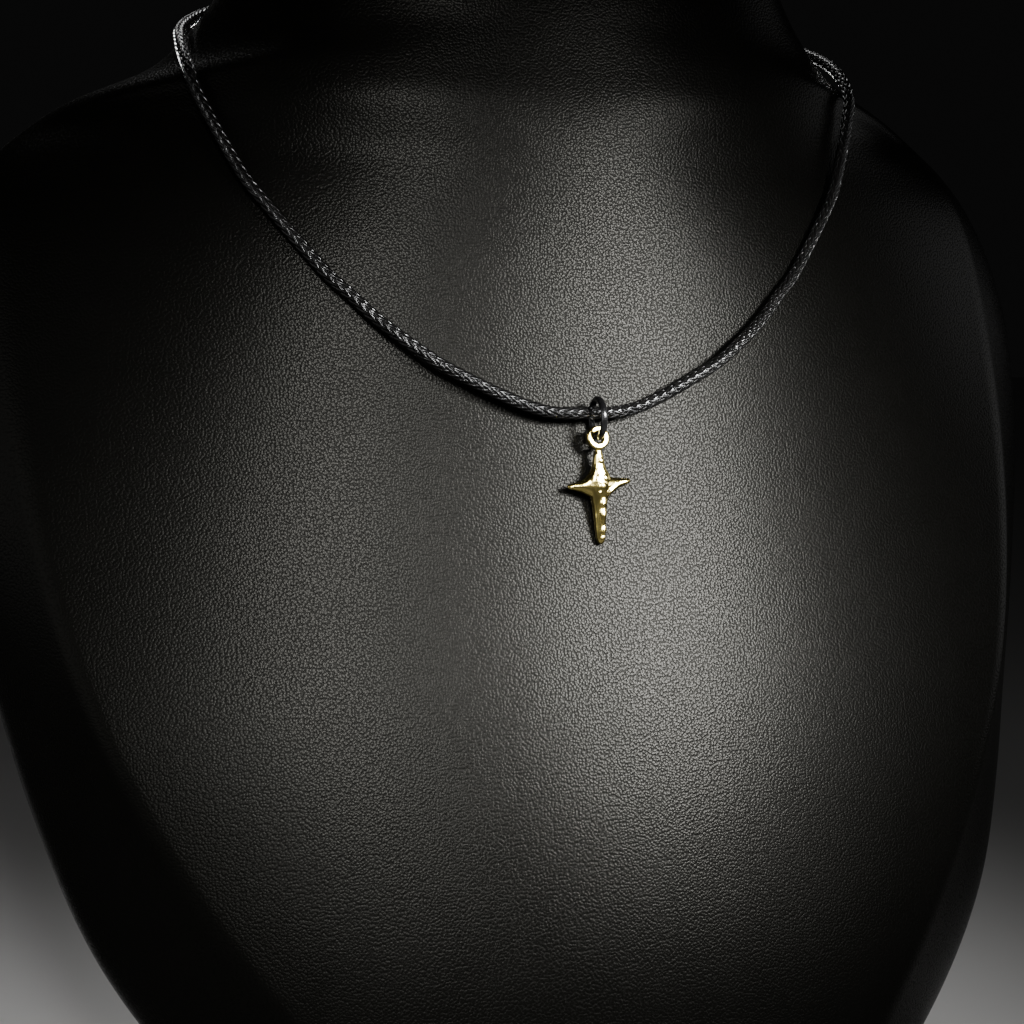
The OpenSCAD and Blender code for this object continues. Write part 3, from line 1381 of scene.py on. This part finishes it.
    def eye(self) -> Skin:
        """The eye's round wire.

        Returns:
            Its points and faces.
        """
        radius, thick = (self.eye_outside - self.eye_wire) / 2, self.eye_wire / 2
        tilt = Matrix.Rotation(math.radians(self.eye_turn), 3, "Z") @ Matrix.Rotation(
            math.radians(-self.eye_tilt), 3, "X"
        )
        lift = Vector((0, 0, self.eye_lift))
        points = []
        for i in range(self.eye_bends):
            angle = 2 * math.pi * i / self.eye_bends
            outward = Vector((math.cos(angle), 0, math.sin(angle)))
            for j in range(self.sides):
                sideways, forwards = self.section(j, self.eye_flatness)
                across = outward * sideways + Vector((0, forwards, 0))
                points.append(tilt @ (outward * radius + across * thick) + lift)
        return points, ring_faces(self.eye_bends, self.sides, closed=True)

    def ball(self, bead: Bead) -> Skin:
        """A small flattened ball.

        Args:
            bead: Its middle and half sizes.

        Returns:
            Its points and faces.
        """
        rows = []
        for turn in range(self.ball_start, 180, self.ball_step):
            t = math.radians(turn)
            size = math.sin(t)
            rows.append(
                Bead(
                    bead.x,
                    bead.y,
                    bead.z + bead.across * math.cos(t),
                    bead.across * size,
                    bead.through * size,
                )
            )
        return self.limb(rows)

    def melt(self, cross: bpy.types.Object) -> None:
        """Melts the casting's parts into one soft skin of the same thickness.

        Args:
            cross: The parts, in millimetres.
        """
        joined = cross.modifiers.new("Melt", "REMESH")
        joined.mode, joined.voxel_size, joined.use_smooth_shade = "VOXEL", self.voxel, True
        soften = cross.modifiers.new("Soften", "SMOOTH")
        soften.factor, soften.iterations = self.softening_share, self.softening
        swell = cross.modifiers.new("Regain", "DISPLACE")
        swell.strength, swell.mid_level = self.regain, 0.0
        apply_modifiers(cross)

    def dent(self, mesh: bpy.types.Mesh) -> None:
        """Gives the casting its slight unevenness.

        Args:
            mesh: The melted casting, in millimetres.
        """
        moved = [
            vert.co + vert.normal * (self.dent_depth * noise.noise(vert.co / self.dent_width))
            for vert in mesh.vertices
        ]
        for vert, place in zip(mesh.vertices, moved):
            vert.co = place

    def hollows(self, mesh: bpy.types.Mesh) -> None:
        """Stores how deeply sunk each point of the casting is, from 0 to 1, as the share of the
        gold's painted shade.

        Args:
            mesh: The finished casting, in millimetres.
        """
        points = np.array([v.co for v in mesh.vertices])
        normals = np.array([v.normal for v in mesh.vertices])
        ends = np.array([e.vertices for e in mesh.edges])
        soft = points.copy()
        count = np.zeros(len(points))
        np.add.at(count, ends.ravel(), 1)
        for _ in range(self.hollow_reach):
            total = np.zeros_like(points)
            np.add.at(total, ends[:, 0], soft[ends[:, 1]])
            np.add.at(total, ends[:, 1], soft[ends[:, 0]])
            soft = total / count[:, None]
        depth = ((soft - points) * normals).sum(axis=1)
        layer = mesh.attributes.new(CastGold.hollow_layer, "FLOAT", "POINT")
        share = np.clip(depth / self.hollow_depth, 0, 1)
        layer.data.foreach_set("value", share.astype(np.float32))

    def build(self) -> bpy.types.Object:
        """The dressed casting.

        Returns:
            Its object.
        """
        parts = [self.limb(self.left_arm), self.limb(self.right_arm)]
        parts.append(self.limb(self.arm_ridge, self.arm_ridge_flatness, self.arm_roll))
        parts.append(self.limb(self.stem, self.flatness, self.stem_roll))
        parts.append(self.limb(self.stem_ridge, self.ridge_flatness, self.stem_roll))
        parts += [self.eye(), *(self.ball(bead) for bead in self.beads)]
        points: list[Vector] = []
        faces: list[tuple[int, ...]] = []
        for part_points, part_faces in parts:
            faces += [tuple(i + len(points) for i in face) for face in part_faces]
            points += part_points
        cross = mesh_object("cast_cross", points, faces)
        outward_faces(cross)
        self.melt(cross)
        self.dent(cross.data)
        # stores where the gold gets its painted shade
        self.hollows(cross.data)
        place = Matrix.Translation(self.hang_at) @ Matrix.Rotation(
            math.radians(-self.lean), 4, "X"
        )
        cross.data.transform(place @ Matrix.Scale(MM, 4))
        cross.data.materials.clear()
        cross.data.materials.append(CastGold().material())
        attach(cross, BODY)
        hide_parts("cross_pendant")
        return cross


def main() -> None:
    """Builds the scene."""
    logging.basicConfig(level=logging.INFO, format="%(message)s")
    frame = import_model()
    studio = Studio()
    studio.camera()
    pieces = (
        Braid().build(),
        Bust().build(frame["nodes"]["bust_form"]),
        Loop().build(),
        Barrel().build(),
        Casting().build(),
    )
    for piece in pieces:
        log.info("%s: %d faces", piece.name, len(piece.data.polygons))
    studio.build()


if __name__ == "__main__":
    main()
